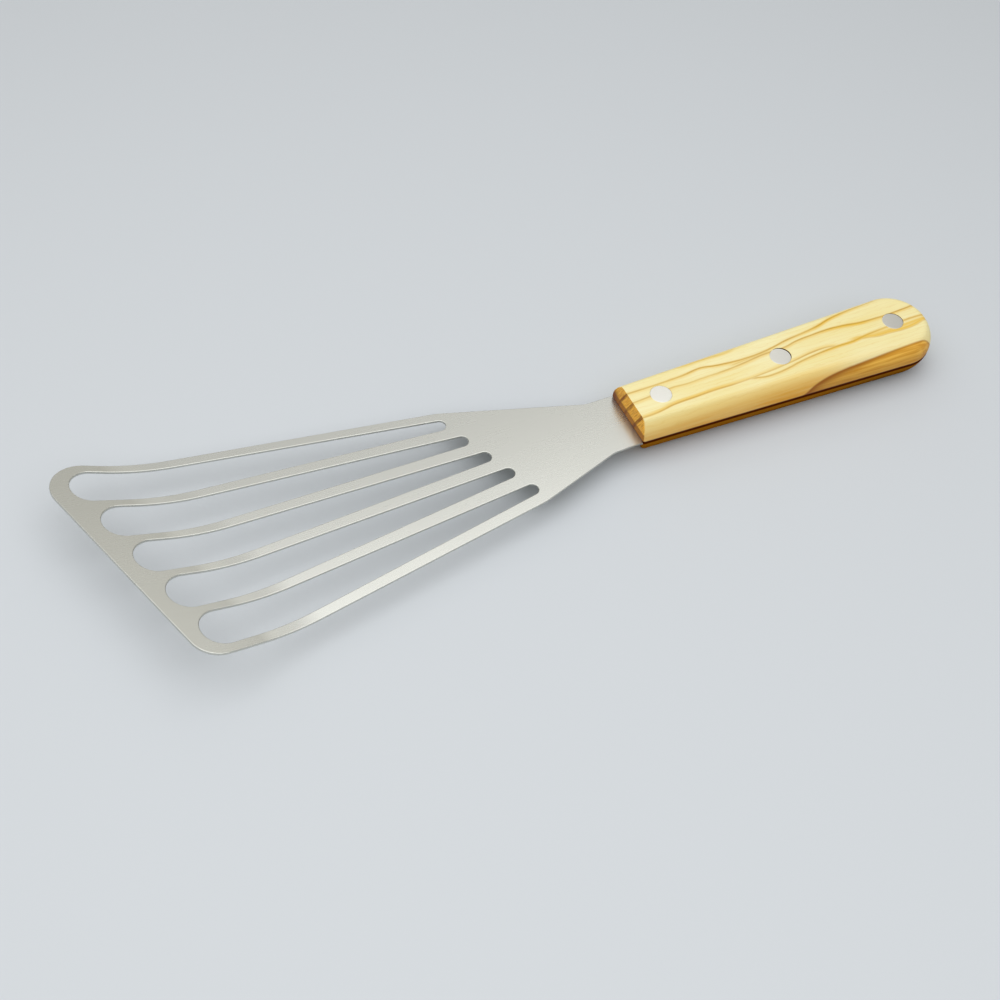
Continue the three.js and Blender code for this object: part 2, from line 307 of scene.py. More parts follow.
def sheet_loops():
    """The blank's outline and, the other way round, its slots and its rivet holes."""
    holes = slot_outlines()
    for x in RIVET_PLACES.values():
        holes.append(arc(Vector((x, 0)), RIVET_TUBE_RADIUS + RIVET_FIT, 0, 2 * math.pi)[:-1])
    return [without_doubles(blank_outline())] + [without_doubles(hole)[::-1] for hole in holes]


def edge_rings(bm, facing, loop):
    """Points round the rounded edge of one loop, ring by ring from the upper face to the lower one."""
    normals = inward_normals(loop)
    level = HALF_SHEET - SHEET_EDGE_ROUND
    rings = []
    for angle, sign in [(a, 1) for a in QUARTER_TURN[::-1]] + [(a, -1) for a in QUARTER_TURN]:
        ring = []
        for p, n in zip(loop, normals):
            flat = p + n * SHEET_EDGE_ROUND * (1 - math.cos(angle))
            height = sign * (level + SHEET_EDGE_ROUND * math.sin(angle))
            vert = bm.verts.new((flat.x, flat.y, height))
            outward = -n.normalized() * math.cos(angle)
            vert[facing] = Vector((outward.x, outward.y, sign * math.sin(angle)))
            ring.append(vert)
        rings.append(ring)
    return rings


def flat_sheet(bm, facing):
    caps = {1: [], -1: []}
    for loop in sheet_loops():
        rings = edge_rings(bm, facing, loop)
        for upper, lower in zip(rings, rings[1:]):
            for i in range(len(loop)):
                bm.faces.new((upper[i - 1], lower[i - 1], lower[i], upper[i]))
        caps[1].append(rings[0])
        caps[-1].append(rings[-1])
    for sign, rings in caps.items():
        corners = [v for ring in rings for v in ring]
        for triangle in tessellate_polygon([[v.co.copy() for v in ring] for ring in rings]):
            a, b, c = (corners[i] for i in triangle)
            up = (b.co - a.co).cross(c.co - a.co).z * sign > 0
            bm.faces.new((a, b, c) if up else (a, c, b))


def bend_tip(bm, facing):
    """Bends the flat sheet up along a slanted line, with the normals that its points carry."""
    line = slanted(TIP_ROW_SLANT)
    to_tip = Vector((-line.y, line.x))
    start = (BLADE_LENGTH - BEND_RUN) * math.cos(math.radians(TIP_ROW_SLANT))
    arc_length = BEND_RADIUS * BEND_ANGLE
    for i in range(BEND_STEPS + 1):
        place = to_tip * (start + arc_length * i / BEND_STEPS)
        bmesh.ops.bisect_plane(
            bm, geom=bm.verts[:] + bm.edges[:] + bm.faces[:], dist=CUT_TOLERANCE,
            plane_co=(place.x, place.y, 0), plane_no=(to_tip.x, to_tip.y, 0),
        )
    hinge = Vector((line.x, line.y, 0))
    for v in bm.verts:
        run = v.co.x * to_tip.x + v.co.y * to_tip.y - start
        if run <= 0:
            continue
        swept = min(run / BEND_RADIUS, BEND_ANGLE)
        beyond = max(run - arc_length, 0)
        arm = BEND_RADIUS - v.co.z
        reach = arm * math.sin(swept) + beyond * math.cos(BEND_ANGLE)
        rise = BEND_RADIUS - arm * math.cos(swept) + beyond * math.sin(BEND_ANGLE)
        v.co = (v.co.x + to_tip.x * (reach - run), v.co.y + to_tip.y * (reach - run), rise)
        v[facing] = Matrix.Rotation(swept, 3, hinge) @ v[facing]


def make_blade(material):
    """The bent sheet with rounded edges. Every point carries its own normal, so flat faces shade flat."""
    bm = bmesh.new()
    facing = bm.verts.layers.float_vector.new("facing")
    flat_sheet(bm, facing)
    bend_tip(bm, facing)
    bm.normal_update()
    normals = [v[facing].normalized() for v in bm.verts]
    bm.verts.layers.float_vector.remove(facing)
    blade = new_piece("turner_blade", bm, material, "blade")
    blade.data.shade_smooth()
    blade.data.normals_split_custom_set_from_vertices(normals)


# Handle scales

def flank_profile(inset, bulge):
    """Flank of a scale, as points of inset and height, from the inner face up to the outer face."""
    top = Vector((inset, SCALE_THICKNESS))
    half = top.length / 2
    radius = (half ** 2 + bulge ** 2) / (2 * bulge)
    centre = top / 2 + Vector((top.y, -top.x)).normalized() * (radius - bulge)
    flank = arc(centre, radius, heading(-centre), -2 * math.asin(half / radius))
    arris = rounded_corner(flank[-2], top, top + Vector((1, 0)), ARRIS_RADIUS)
    return [p for p in flank if p.y < arris[0].y - LEAST_STEP] + arris


def scale_outline(front_x, inset):
    """The handle's outline with rounded front corners, all the way round."""
    line = handle_outline(front_x, inset)
    near, far = line[0], line[-1]
    near_corner = rounded_corner(far, near, line[1], NEAR_FRONT_CORNER)
    far_corner = rounded_corner(line[-2], far, near, FAR_FRONT_CORNER)
    return near_corner + line[1:-1] + far_corner


def scale_plate(flank_inset, flank_bulge, front_height, front_setback):
    """One scale with its inner face at Z = 0, before its rivet seats are cut."""
    flank = flank_profile(flank_inset, flank_bulge)
    front_turn = [SCALE_THICKNESS - FRONT_ARRIS * math.cos(a) for a in QUARTER_TURN]
    heights = [p.y for p in flank] + [front_height] + front_turn
    bm = bmesh.new()
    rings = []
    for height in sorted({round(h, 4) for h in heights}):
        above = next(i for i, p in enumerate(flank) if p.y > height - SAME_PLACE)
        a, b = flank[max(above - 1, 0)], flank[above]
        inset = a.x + (b.x - a.x) * (height - a.y) / (b.y - a.y) if above else 0
        front = front_setback * max(height - front_height, 0) / (SCALE_THICKNESS - front_height)
        rise = min(max(height - SCALE_THICKNESS + FRONT_ARRIS, 0), FRONT_ARRIS)
        front += FRONT_ARRIS - math.sqrt(FRONT_ARRIS ** 2 - rise ** 2)
        rings.append([bm.verts.new((p.x, p.y, height)) for p in scale_outline(front, inset)])
    for lower, upper in zip(rings, rings[1:]):
        for i in range(len(lower)):
            bm.faces.new((lower[i - 1], lower[i], upper[i], upper[i - 1]))
    bm.faces.new(rings[0][::-1])
    bm.faces.new(rings[-1])
    return bm


def lathe(profile, x):
    """Turns a profile of (radius, height) pairs that starts and ends on the axis, at a rivet's place."""
    bm = bmesh.new()
    turns = [2 * math.pi * i / LATHE_SIDES for i in range(LATHE_SIDES)]
    rings = []
    for radius, height in profile:
        if radius == 0:
            rings.append([bm.verts.new((x, 0, height))])
            continue
        rings.append([
            bm.verts.new((x + radius * math.cos(a), radius * math.sin(a), height)) for a in turns
        ])
    for lower, upper in zip(rings, rings[1:]):
        for i in range(LATHE_SIDES):
            j = (i + 1) % LATHE_SIDES
            below = [lower[i % len(lower)], lower[j % len(lower)]]
            above = [upper[j % len(upper)], upper[i % len(upper)]]
            bm.faces.new(list(dict.fromkeys(below + above)))
    bmesh.ops.recalc_face_normals(bm, faces=bm.faces[:])
    return bm


def seat_mesh(place, side, slack=0, shift=Vector((0, 0))):
    """Room for one rivet in a scale on the upper (1) or lower (-1) side."""
    base = side * HALF_SHEET
    seat = base + side * (SCALE_THICKNESS - RIVET_HEAD_THICKNESS)
    inside = base - side * CUT_BEHIND
    outside = seat + side * CUT_BEYOND
    tube = RIVET_TUBE_RADIUS + RIVET_FIT
    head = RIVET_HEAD_RADIUS + SEAT_FIT + slack
    bm = lathe([
        (0, inside), (tube, inside), (tube, seat), (head, seat), (head, outside), (0, outside),
    ], RIVET_PLACES[place])
    bmesh.ops.translate(bm, vec=(shift.x, shift.y, 0), verts=bm.verts)
    return bm


def cut_seats(piece, seats):
    """Cuts the rivets' seats, given as bmeshes in drawing millimetres, out of a scale."""
    for bm in seats:
        tool = placed_object("seat", bm)
        tool_mesh = tool.data
        cut = piece.modifiers.new("seat", "BOOLEAN")
        cut.operation = "DIFFERENCE"
        cut.solver = "EXACT"
        cut.object = tool
        bpy.context.view_layer.update()
        done = piece.evaluated_get(bpy.context.evaluated_depsgraph_get())
        made = bpy.data.meshes.new_from_object(done)
        piece.modifiers.remove(cut)
        piece.data = made
        bpy.data.objects.remove(tool)
        bpy.data.meshes.remove(tool_mesh)


def make_scale(name, form, side, material, node):
    bm = scale_plate(*form)
    if side < 0:
        bmesh.ops.scale(bm, vec=(1, 1, -1), verts=bm.verts)
        bmesh.ops.reverse_faces(bm, faces=bm.faces[:])
    bmesh.ops.translate(bm, vec=(0, 0, side * HALF_SHEET), verts=bm.verts)
    piece = new_piece(name, bm, material, node)
    seats = [seat_mesh(place, side) for place in RIVET_PLACES]
    if side > 0:
        seats += [seat_mesh(place, side, -tight, shift) for place, (tight, shift) in WORN_SEATS.items()]
    cut_seats(piece, seats)
    shade_smooth(piece, WOOD_CREASE)


# Rivets

def rivet_head(outer, side):
    """The head's part of a rivet profile: a low dome and a rounded rim, from the axis outwards."""
    flat = RIVET_HEAD_RADIUS - RIVET_EDGE_ROUND
    crown = [(0, outer)]
    crown += [(flat * k, outer - side * RIVET_DOME * k ** 2) for k in RIVET_CROWN_RINGS]
    crown += [
        (flat + RIVET_EDGE_ROUND * math.sin(a),
         outer - side * (RIVET_DOME + RIVET_EDGE_ROUND * (1 - math.cos(a)))) for a in QUARTER_TURN
    ]
    return crown + [(RIVET_HEAD_RADIUS, outer - side * RIVET_HEAD_THICKNESS)]


def make_rivet(place, material):
    """A post half with its head in the upper scale, and a tube half with its head in the lower one."""
    x = RIVET_PLACES[place]
    seat = TOP_LEVEL - RIVET_HEAD_THICKNESS
    end = seat - RIVET_END_GAP
    bore = RIVET_POST_RADIUS + RIVET_FIT
    post = rivet_head(TOP_LEVEL, 1) + [
        (RIVET_POST_RADIUS, seat), (RIVET_POST_RADIUS, POST_CHAMFER - end),
        (RIVET_POST_RADIUS - POST_CHAMFER, -end), (0, -end),
    ]
    tube = rivet_head(-TOP_LEVEL, -1) + [
        (RIVET_TUBE_RADIUS, -seat), (RIVET_TUBE_RADIUS, end), (bore, end), (bore, -seat), (0, -seat),
    ]
    for half, profile in (("post", post), ("tube", tube)):
        name, node = f"rivet_{half}_{place}", f"{place}_rivet_{half}"
        shade_smooth(new_piece(name, lathe(profile, x), material, node), RIVET_CREASE)


# Node trees

class Graph:
    """Short calls that build the node tree of a material or of the world."""

    def __init__(self, owner, shader):
        owner.use_nodes = True
        self.tree = owner.node_tree
        self.shader = self.tree.nodes[shader]

    def node(self, kind, inputs=(), **settings):
        node = self.tree.nodes.new(kind)
        for key, value in settings.items():
            setattr(node, key, value)
        for key, value in dict(inputs).items():
            self.put(node.inputs[key], value)
        return node

    def put(self, socket, value):
        if isinstance(value, bpy.types.NodeSocket):
            self.tree.links.new(value, socket)
        else:
            socket.default_value = value

    def set(self, **inputs):
        for key, value in inputs.items():
            self.put(self.shader.inputs[key.replace("_", " ")], value)

    def math(self, operation, a, b=0.0, c=0.0):
        return self.node("ShaderNodeMath", {0: a, 1: b, 2: c}, operation=operation).outputs[0]

    def plus(self, a, b):
        return self.math("ADD", a, b)

    def minus(self, a, b):
        return self.math("SUBTRACT", a, b)

    def times(self, a, b):
        return self.math("MULTIPLY", a, b)

    def larger(self, a, b):
        return self.math("MAXIMUM", a, b)

    def absolute(self, value):
        return self.math("ABSOLUTE", value)

    def span(self, value, low, high, out_low=0.0, out_high=1.0, smooth=True):
        kind = "SMOOTHSTEP" if smooth else "LINEAR"
        return self.node("ShaderNodeMapRange", {
            "Value": value, "From Min": low, "From Max": high, "To Min": out_low, "To Max": out_high,
        }, interpolation_type=kind).outputs["Result"]

    def mix(self, factor, a, b):
        """A colour between a and b. Sockets 6, 7 and 2 are the mix node's colour sockets."""
        return self.node("ShaderNodeMix", {0: factor, 6: a, 7: b}, data_type="RGBA").outputs[2]

    def ramp(self, value, stops):
        node = self.node("ShaderNodeValToRGB", {0: value})
        elements = node.color_ramp.elements
        while len(elements) < len(stops):
            elements.new(0.5)
        for element, (position, tint) in zip(elements, stops):
            element.position = position
            element.color = tint + (1.0,)
        return node.outputs[0]

    def noise(self, vector, detail, roughness, scale=1.0):
        return self.node("ShaderNodeTexNoise", {
            "Vector": vector, "Scale": scale, "Detail": detail, "Roughness": roughness,
        }).outputs["Fac"]

    def curve(self, value, points, x_range, y_range):
        """y over x through the given points."""
        (x0, x1), (y0, y1) = x_range, y_range
        node = self.node("ShaderNodeFloatCurve", {"Value": self.span(value, x0, x1, smooth=False)})
        line = node.mapping.curves[0]
        scaled = [((x - x0) / (x1 - x0), (y - y0) / (y1 - y0)) for x, y in points]
        while len(line.points) < len(scaled):
            line.points.new(0.5, 0.5)
        for knot, (x, y) in zip(line.points, scaled):
            knot.location = (x, y)
            knot.handle_type = "AUTO"
        node.mapping.update()
        return self.span(node.outputs[0], 0.0, 1.0, y0, y1, smooth=False)

    def millimetres(self):
        """Drawing coordinates, as a vector and as x, y and z."""
        place = self.node("ShaderNodeTexCoord").outputs["Object"]
        scaled = self.stretched(place, (1 / MM,) * 3)
        parts = self.node("ShaderNodeSeparateXYZ", {0: scaled}).outputs
        return scaled, parts[0], parts[1], parts[2]

    def stretched(self, vector, scale, shift=(0, 0, 0)):
        inputs = {"Vector": vector, "Scale": scale, "Location": shift}
        return self.node("ShaderNodeMapping", inputs).outputs[0]

    def bump(self, height, strength):
        return self.node("ShaderNodeBump", {
            "Height": height, "Strength": strength, "Distance": BUMP_DISTANCE,
        }).outputs[0]


def srgb(red, green, blue):
    """A linear colour from 0 to 255 values."""
    def linear(v):
        v /= 255
        return v / 12.92 if v <= 0.04045 else ((v + 0.055) / 1.055) ** 2.4
    return (linear(red), linear(green), linear(blue), 1.0)


PRINCIPLED = "Principled BSDF"
BUMP_DISTANCE = 0.0002

# Steel and rivet metal

STEEL_GREY = srgb(206, 207, 201)
RIVET_GREY = srgb(237, 236, 229)
# Scales of the noise per millimetre along X, Y and Z.
BRUSHED_SCALE = (0.07, 2.6, 0.07)
CLOUDY_SCALE = (0.03, 0.05, 0.05)
SPECK_SCALE = 5.0
SPECK_SHARE = 0.05
DEEP_TONE = 0.97
# Spans of the noise over which the tone and the sheen change.
TONE_SPAN = (0.3, 0.7)
BRUSHED_SPAN = (0.25, 0.75)
CLOUDY_SPAN = (0.3, 0.7)


def satin_steel(name, colour, roughness, wear, relief):
    """Satin metal with a fine grain along the tool and a slightly cloudy sheen."""
    material = bpy.data.materials.new(name)
    g = Graph(material, PRINCIPLED)
    place = g.millimetres()[0]
    brushed = g.noise(g.stretched(place, BRUSHED_SCALE), detail=3.0, roughness=0.6)
    cloudy = g.noise(g.stretched(place, CLOUDY_SCALE), detail=2.0, roughness=0.5)
    specks = g.noise(place, detail=2.0, roughness=0.6, scale=SPECK_SCALE)
    deeper = tuple(v * DEEP_TONE for v in colour[:3]) + (1.0,)
    tone = g.span(g.math("MULTIPLY_ADD", cloudy, 0.5, g.times(brushed, 0.5)), *TONE_SPAN)
    g.set(Base_Color=g.mix(tone, colour, deeper), Metallic=1.0)
    worn = g.plus(g.span(brushed, *BRUSHED_SPAN), g.span(cloudy, *CLOUDY_SPAN))
    g.set(Roughness=g.span(worn, 0.0, 2.0, roughness - wear, roughness + wear, smooth=False))
    g.set(Normal=g.bump(g.math("MULTIPLY_ADD", specks, SPECK_SHARE, brushed), relief))
    return material


# Wood

# A growth line of a scale: its curve as (x, y) on the outer face, the side that its golden halo leans to,
# and how strong its dark core and its halo are along x. The curves end just past the butt, at x = 116.
GrowthLine = namedtuple("GrowthLine", "curve lean core halo")

NOWHERE = [(0, 0), (116, 0)]
EVEN = [(0, 1), (116, 1)]
FAR_LINE = GrowthLine(
    curve=[
        (0, 4.1), (14, 4.2), (22, 4.6), (28.8, 5.3), (33.3, 4.5), (40, 3.75), (45, 3.55), (50, 3.75),
        (55.8, 4.5), (61.2, 5.6), (69.5, 6.6), (75, 7.45), (80.5, 8.85), (84.5, 9.5), (100, 10.8),
        (116, 12.2),
    ],
    lean=-0.2,
    core=[
        (0, 0.75), (20, 0.7), (27, 0.9), (45, 0.85), (70, 0.9), (82, 0.9), (88, 0.6), (100, 0.3),
        (104, 0), (116, 0),
    ],
    halo=[
        (0, 0.4), (15, 0.45), (27, 0.6), (40, 0.65), (55, 0.5), (70, 0.6), (79, 1), (88, 0.7), (98, 0.3),
        (116, 0),
    ],
)
AXIS_LINE = GrowthLine(
    curve=[
        (0, -0.1), (7.1, 0.4), (16, 1.15), (22, 0.85), (28, 1.15), (35, 1.25), (41.7, 1.8), (51.7, 2.9),
        (59.5, 3.1), (65.3, 4.2), (71, 4.6), (77.8, 4.9), (82.8, 4.6), (90.3, 3.6), (95, 3.35),
        (104.9, 3.5), (116, 4.4),
    ],
    lean=-0.35,
    core=[(0, 0.7), (8, 0.6), (25, 0.5), (38, 0.65), (52, 0.85), (76, 0.85), (88, 0.95), (116, 0.9)],
    halo=[(0, 0.4), (30, 0.35), (45, 0.5), (70, 0.55), (80, 0.9), (88, 1), (95, 0.6), (116, 0.55)],
)
NEAR_LINE = GrowthLine(
    curve=[
        (0, -6.7), (4.2, -6.7), (8.3, -6.3), (12.5, -5.5), (20.8, -5.2), (29, -4.9), (36, -5.05),
        (47, -4.5), (55.8, -3.75), (61, -3.1), (66.6, -2.3), (72.8, -2.1), (78, -2.9), (116, -2.9),
    ],
    lean=0.4,
    core=[
        (0, 0.85), (12, 0.85), (30, 0.75), (42, 0.6), (55, 0.6), (68, 0.75), (75, 0.55), (79, 0), (116, 0),
    ],
    halo=[(0, 0.45), (12, 0.75), (28, 0.8), (40, 0.45), (60, 0.45), (74, 0.5), (80, 0), (116, 0)],
)
NEAR_BRANCH = GrowthLine(
    curve=[
        (0, -5.0), (38, -4.95), (43.5, -5.3), (47, -6.05), (50, -6.1), (57, -5.3), (61, -4.5),
        (67, -3.75), (76, -3.05), (83, -2.95), (88.7, -2.2), (97, -1.6), (107.8, -1.0), (116, -1.4),
    ],
    lean=-0.15,
    core=[(0, 0), (39, 0), (44, 0.75), (60, 0.9), (76, 0.9), (86, 0.65), (94, 0.55), (116, 0.7)],
    halo=[
        (0, 0), (39, 0), (46, 0.5), (66, 0.5), (74, 0.9), (84, 1), (92, 0.8), (104, 0.6), (116, 0.6),
    ],
)
REAR_BAND_EDGE = GrowthLine(
    curve=[
        (0, -2.9), (82, -2.9), (86.2, -3.0), (92.5, -4.3), (96.6, -4.4), (102.8, -4.8), (107, -4.5),
        (111.6, -3.5), (116, -2.8),
    ],
    lean=0.7,
    core=[(0, 0), (80, 0), (88, 0.35), (110, 0.3), (116, 0.2)],
    halo=[(0, 0), (79, 0), (86, 0.9), (110, 1), (116, 0.7)],
)
REAR_BAND = GrowthLine(
    curve=[(0, -2.9), (86, -2.8), (92, -3.2), (100, -3.1), (108, -2.7), (116, -2.2)],
    lean=0.0,
    core=NOWHERE,
    halo=[(0, 0), (80, 0), (88, 0.8), (106, 0.9), (116, 0.7)],
)
AXIS_WISP = GrowthLine(
    curve=[(0, 1.0), (34, 1.7), (39, 2.5), (44, 2.9), (52, 3.3), (58, 3.6), (116, 4)],
    lean=0.0,
    core=[(0, 0), (36, 0), (42, 0.3), (52, 0.3), (56, 0), (116, 0)],
    halo=[(0, 0), (36, 0), (42, 0.5), (52, 0.5), (58, 0), (116, 0)],
)
FAR_WISP = GrowthLine(
    curve=[(0, 8.3), (20.8, 8.2), (25, 8.05), (29.2, 8.3), (40, 8.2), (44.2, 8.9), (60, 10.5), (116, 15)],
    lean=0.0,
    core=[(0, 0), (20, 0), (28, 0.2), (40, 0.2), (46, 0), (116, 0)],
    halo=[(0, 0), (18, 0), (26, 0.55), (38, 0.55), (47, 0), (116, 0)],
)
UPPER_LINES = [
    FAR_LINE, AXIS_LINE, NEAR_LINE, NEAR_BRANCH, REAR_BAND_EDGE, REAR_BAND, AXIS_WISP, FAR_WISP,
]
LOWER_LINES = [
    GrowthLine([(0, 6.5), (40, 5.2), (80, 7.4), (116, 8.2)], -0.3, EVEN, EVEN),
    GrowthLine([(0, 1.2), (36, 2.6), (70, 1.0), (116, 2.2)], 0.4, EVEN, [(0, 0.4), (116, 0.4)]),
    GrowthLine([(0, -3.4), (30, -2.2), (62, -4.0), (116, -2.6)], -0.3, EVEN, [(0, 0.5), (116, 0.7)]),
]
# The heartwood's edge, as (x, y). The heartwood lies on its near side. The lower scale's edge bounds painted
# shade instead, which darkens its near flank beyond it.
UPPER_HEART_EDGE = [
    (0, -17.5), (50, -17), (58.8, -15.3), (64.5, -13.3), (73, -12.1), (85, -11.55), (104, -10.95),
    (106.8, -10.95), (110.5, -12.0), (116, -12.9),
]
LOWER_FLANK_SHADE_EDGE = [(0, -8.0), (40, -7.4), (80, -9.0), (116, -8.4)]

# Half the width of a line's core and halo, and how much of the line's colour they take.
CORE_WIDTH = 0.5
HALO_WIDTH = 1.25
CORE_SHARE = 0.9
HALO_SHARE = 0.85
# How far the growth layers lean over with height, and how much the lines wander.
LAYER_TILT = 0.36
LINE_WANDER = 0.2
RINGS_PER_MM = 0.55
RING_WANDER = 1.5
WIDTH_RANGE = (-20.0, 20.0)
SHARE_RANGE = (0.0, 1.0)
# How strongly the near flank takes its golden tone and painted shade, along x.
FLANK_SHADE_ALONG = [(0, 0.68), (30, 0.76), (56, 0.8), (70, 0.58), (82, 0.25), (116, 0.1)]
FLANK_SHADE_SHARE = 0.8
FAR_FOOT_SHARE = 0.85
CREASE_BLEND = 0.25
CORE_RELIEF = -0.4
FINE_RELIEF = 0.5
WOOD_RELIEF = 0.12

# Spans: where a change starts and ends, in its noise, in millimetres or as a cosine, and the share, width
# or roughness at both. Where only two numbers are given, the shares are 0 and 1.
WARM_PATCHES = (0.3, 0.72)
FIBRES = (0.42, 0.8, 0.0, 0.38)
# Golden tone and painted shade on the near flank, deeper and amber towards its foot.
FLANK_GOLD_SHADE_REACH = (-7.4, -10.6)
FLANK_AMBER_SHADE_REACH = (-10.0, -14.2)
FLANK_STREAKS = (0.3, 0.7, 0.7, 1.25)
YEAR_RINGS = (0.36, 0.5, 0.0, 0.14)
LINE_PATCHES = (0.25, 0.7, 0.6, 1.0)
HEART_BLEND = (-0.25, 0.5)
HEART_STREAKS = (0.36, 0.64)
HEART_FRONT = (62.0, 92.0, 0.3, 0.0)
# Painted shade towards the heartwood's foot, by the seam.
HEART_FOOT_SHADE = (6.2, 1.2, 0.0, 0.5)
HEART_RIM_WIDTH = (70.0, 100.0, 2.4, 1.1)
HEART_RIM_FADE = (0.1, 1.0, 1.0, 0.0)
HEART_RIM_SHARE = (66.0, 100.0, 1.0, 0.65)
FRONT_FACING = (0.5, 0.9)
END_PORES = (0.3, 0.7)
END_LAYERS = (0.4, 0.7, 0.0, 0.65)
END_BANDS = (0.05, 0.5)
END_BAND_LAYERS = (0.3, 0.6, 0.5, 0.85)
# Painted shade: a thin dark line along the end grain's crease.
END_CREASE_SHADE = (0.1, 0.5, 0.35, 0.0)
FAR_FOOT_SIDE = (5.0, 9.5)
FAR_FOOT_HEIGHT = (6.0, 2.5)
# Painted shade on the rivets' seat walls and along the seam by the tang.
SEAT_SHADE_REACH = (RIVET_HEAD_RADIUS + 0.7, RIVET_HEAD_RADIUS + 0.9, 1.0, 0.0)
SEAT_SHADE_TOP = (TOP_LEVEL - 0.15, TOP_LEVEL - 0.05, 1.0, 0.0)
SEAM_SHADE = (HALF_SHEET + 0.1, HALF_SHEET + 0.5, 0.95, 0.0)
WOOD_SHEEN = (0.7, 1.3, 0.42, 0.56)

# Grain as noise: its scale per millimetre along and across the handle, its detail and its roughness.
WANDER_GRAIN = (0.16, 0.5, 3.0, 0.55)
FIBRE_GRAIN = (0.05, 3.2, 3.0, 0.6)
FINE_GRAIN = (0.22, 9.0, 2.0, 0.6)
PATCH_GRAIN = (0.025, 0.13, 2.0, 0.5)
STREAK_GRAIN = (0.03, 0.9, 3.0, 0.6)
DRIFT_GRAIN = (0.09, 0.3, 2.0, 0.5)
# Where in the noise a line's patches are taken, apart from the line's own place along x.
DRIFT_PLACE = (7.0, 3.0)
PORE_SCALE = 3.5
# Scale of the end grain's layers per millimetre across the handle and up.
END_LAYER_SCALE = (2.4, 0.3)

# Colours of the wood
PALE_WOOD = srgb(244, 235, 183)
WARM_WOOD = srgb(241, 226, 160)
FIBRE_GOLD = srgb(234, 206, 112)
# Golden tone and painted shade for the near flank.
FLANK_GOLD_SHADE = srgb(240, 200, 108)
FLANK_AMBER_SHADE = srgb(226, 162, 48)
RING_GOLD = srgb(222, 176, 74)
HALO_GOLD = srgb(232, 185, 46)
LINE_BROWN = srgb(190, 138, 2)
UPPER_HEART_TONES = (srgb(248, 196, 84), srgb(220, 156, 46))
# Painted shade: dark tones for the lower scale's near flank, laid on by the heartwood layer.
LOWER_FLANK_SHADE_TONES = (srgb(124, 80, 12), srgb(92, 55, 5))
HEART_FRONT_BROWN = srgb(170, 106, 20)
# Painted shade at the heartwood's foot.
HEART_FOOT_SHADE_BROWN = srgb(170, 110, 24)
HEART_RIM_BROWN = srgb(152, 86, 4)
# Painted light on the leaning end facet and painted shade on the upright one: lighter and darker copies of
# the end grain's tones.
LEANING_END_LIT_TONES = (srgb(255, 208, 94), srgb(250, 172, 46))
UPRIGHT_END_SHADED_TONES = (srgb(193, 131, 35), srgb(161, 97, 14))
END_LAYER_BROWN = srgb(184, 110, 24)
# Brown of the end grain's bands, of its painted shade line along the crease and of its darker far lower
# corner.
END_BAND_AND_SHADE_BROWN = srgb(118, 54, 4)
# Painted shade in the rivets' seats and along the seam.
SEAT_SHADE_BROWN = srgb(70, 44, 14)
SEAM_SHADE_BROWN = srgb(92, 34, 5)


class WoodGraph(Graph):
    """A wood's node tree, with the coordinates and the grain that its layers share."""

    def __init__(self, material, shift):
        super().__init__(material, PRINCIPLED)
        place, self.x, self.y, self.z = self.millimetres()
        self.place = self.stretched(place, (1, 1, 1), shift)
        self.wander = self.minus(self.grain(WANDER_GRAIN), 0.5)
        tilt = self.math("MULTIPLY_ADD", self.z, LAYER_TILT, -LAYER_TILT * TOP_LEVEL)
        self.across = self.plus(self.plus(self.y, tilt), self.times(self.wander, LINE_WANDER))
        self.fibre = self.grain(FIBRE_GRAIN)
        self.fine = self.grain(FINE_GRAIN)
        self.streaks = self.grain(STREAK_GRAIN)

    def grain(self, noise, shift=(0, 0, 0)):
        """Noise that is drawn out along the handle."""
        along, across, detail, roughness = noise
        return self.noise(self.stretched(self.place, (along, across, across), shift), detail, roughness)

    def along(self, points, limits):
        """A value along the handle, through the given points."""
        return self.curve(self.x, points, (0.0, HANDLE_LENGTH), limits)


def sapwood(g):
    """Pale wood with warm patches, fibres and faint year rings, and a golden near flank with painted shade,
    deeper and amber towards its foot.
    """
    colour = g.mix(g.span(g.grain(PATCH_GRAIN), *WARM_PATCHES), PALE_WOOD, WARM_WOOD)
    colour = g.mix(g.span(g.fibre, *FIBRES), colour, FIBRE_GOLD)
    flank = g.along(FLANK_SHADE_ALONG, SHARE_RANGE)
    # A golden tone with painted shade on the near flank, and more painted shade in amber towards its foot.
    golden_shade = g.times(g.span(g.across, *FLANK_GOLD_SHADE_REACH), flank)
    colour = g.mix(g.times(golden_shade, FLANK_SHADE_SHARE), colour, FLANK_GOLD_SHADE)
    amber = g.times(g.span(g.across, *FLANK_AMBER_SHADE_REACH), flank)
    amber = g.times(amber, g.span(g.streaks, *FLANK_STREAKS))
    colour = g.mix(amber, colour, FLANK_AMBER_SHADE)
    rings = g.math("MULTIPLY_ADD", g.across, RINGS_PER_MM, g.times(g.wander, RING_WANDER))
    rings = g.math("PINGPONG", rings, 0.5)
    return g.mix(g.span(rings, *YEAR_RINGS), colour, RING_GOLD)


def growth_lines(g, lines):
    """Where the lines' dark cores and golden halos are, as two shares."""
    core, halo = 0.0, 0.0
    for line in lines:
        off = g.minus(g.across, g.along(line.curve, WIDTH_RANGE))
        crisp = g.span(g.absolute(off), 0.0, CORE_WIDTH, 1.0, 0.0)
        hazy = g.span(g.absolute(g.minus(off, line.lean)), 0.0, HALO_WIDTH, 1.0, 0.0)
        own_place = (line.curve[1][1],) + DRIFT_PLACE
        patchy = g.span(g.grain(DRIFT_GRAIN, own_place), *LINE_PATCHES)
        strength = g.times(patchy, g.along(line.core, SHARE_RANGE))
        core = g.larger(core, g.times(crisp, strength))
        halo = g.larger(halo, g.times(hazy, g.along(line.halo, SHARE_RANGE)))
    return core, halo


